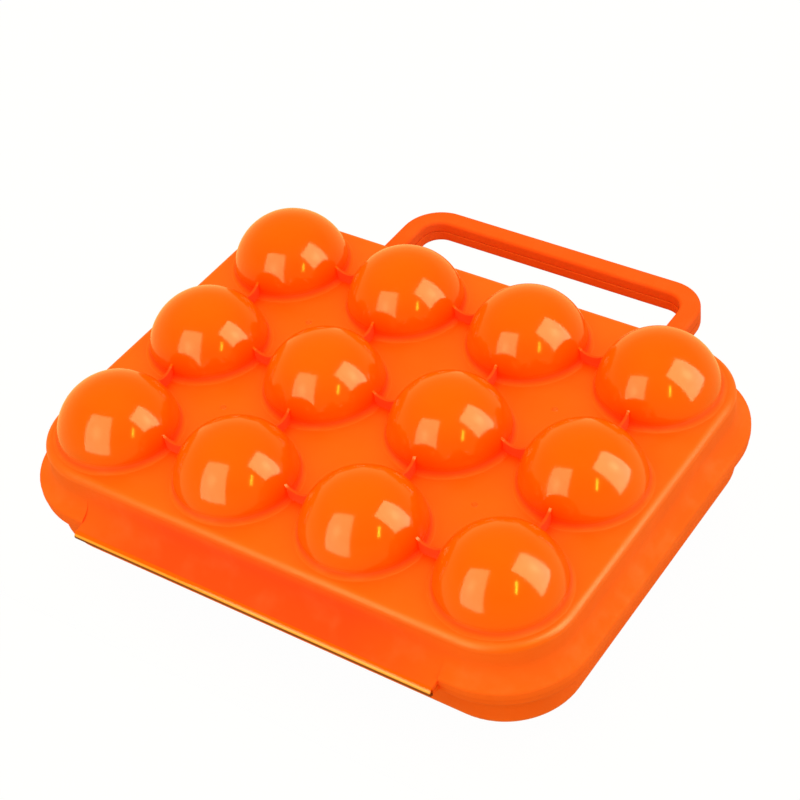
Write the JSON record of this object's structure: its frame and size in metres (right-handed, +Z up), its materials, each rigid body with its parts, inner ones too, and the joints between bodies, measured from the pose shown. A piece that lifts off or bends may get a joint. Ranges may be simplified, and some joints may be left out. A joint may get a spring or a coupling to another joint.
{
  "type": "egg storage box",
  "caption": "Hinged plastic carrying case that holds each egg in its own cup under a domed lid, with a loop handle opposite the hinge.",
  "frame": {"origin": "on the surface the box stands on, under the middle of its outline with the handle", "axes": "+X along the hinge, +Y from the hinge to the handle, +Z up through the lid"},
  "size_m": [0.211, 0.2026, 0.0695],
  "materials": {
    "base_shell": "gloss injection-moulded polypropylene",
    "lid_shell": "gloss injection-moulded polypropylene",
    "hinge_strip": "thin flexed polypropylene"
  },
  "bodies": {
    "tray": {"base": "base_shell", "hinge_web": "hinge_strip"},
    "cover": {"lid": "lid_shell"}
  },
  "joints": [
    {"name": "lid_hinge", "type": "hinge", "parent": "tray", "child": "cover", "pos_m": [0, -0.09973, 0.03175], "axis": [1, 0, 0], "range_deg": [0, 180], "deforming": ["hinge_web"]}
  ]
}
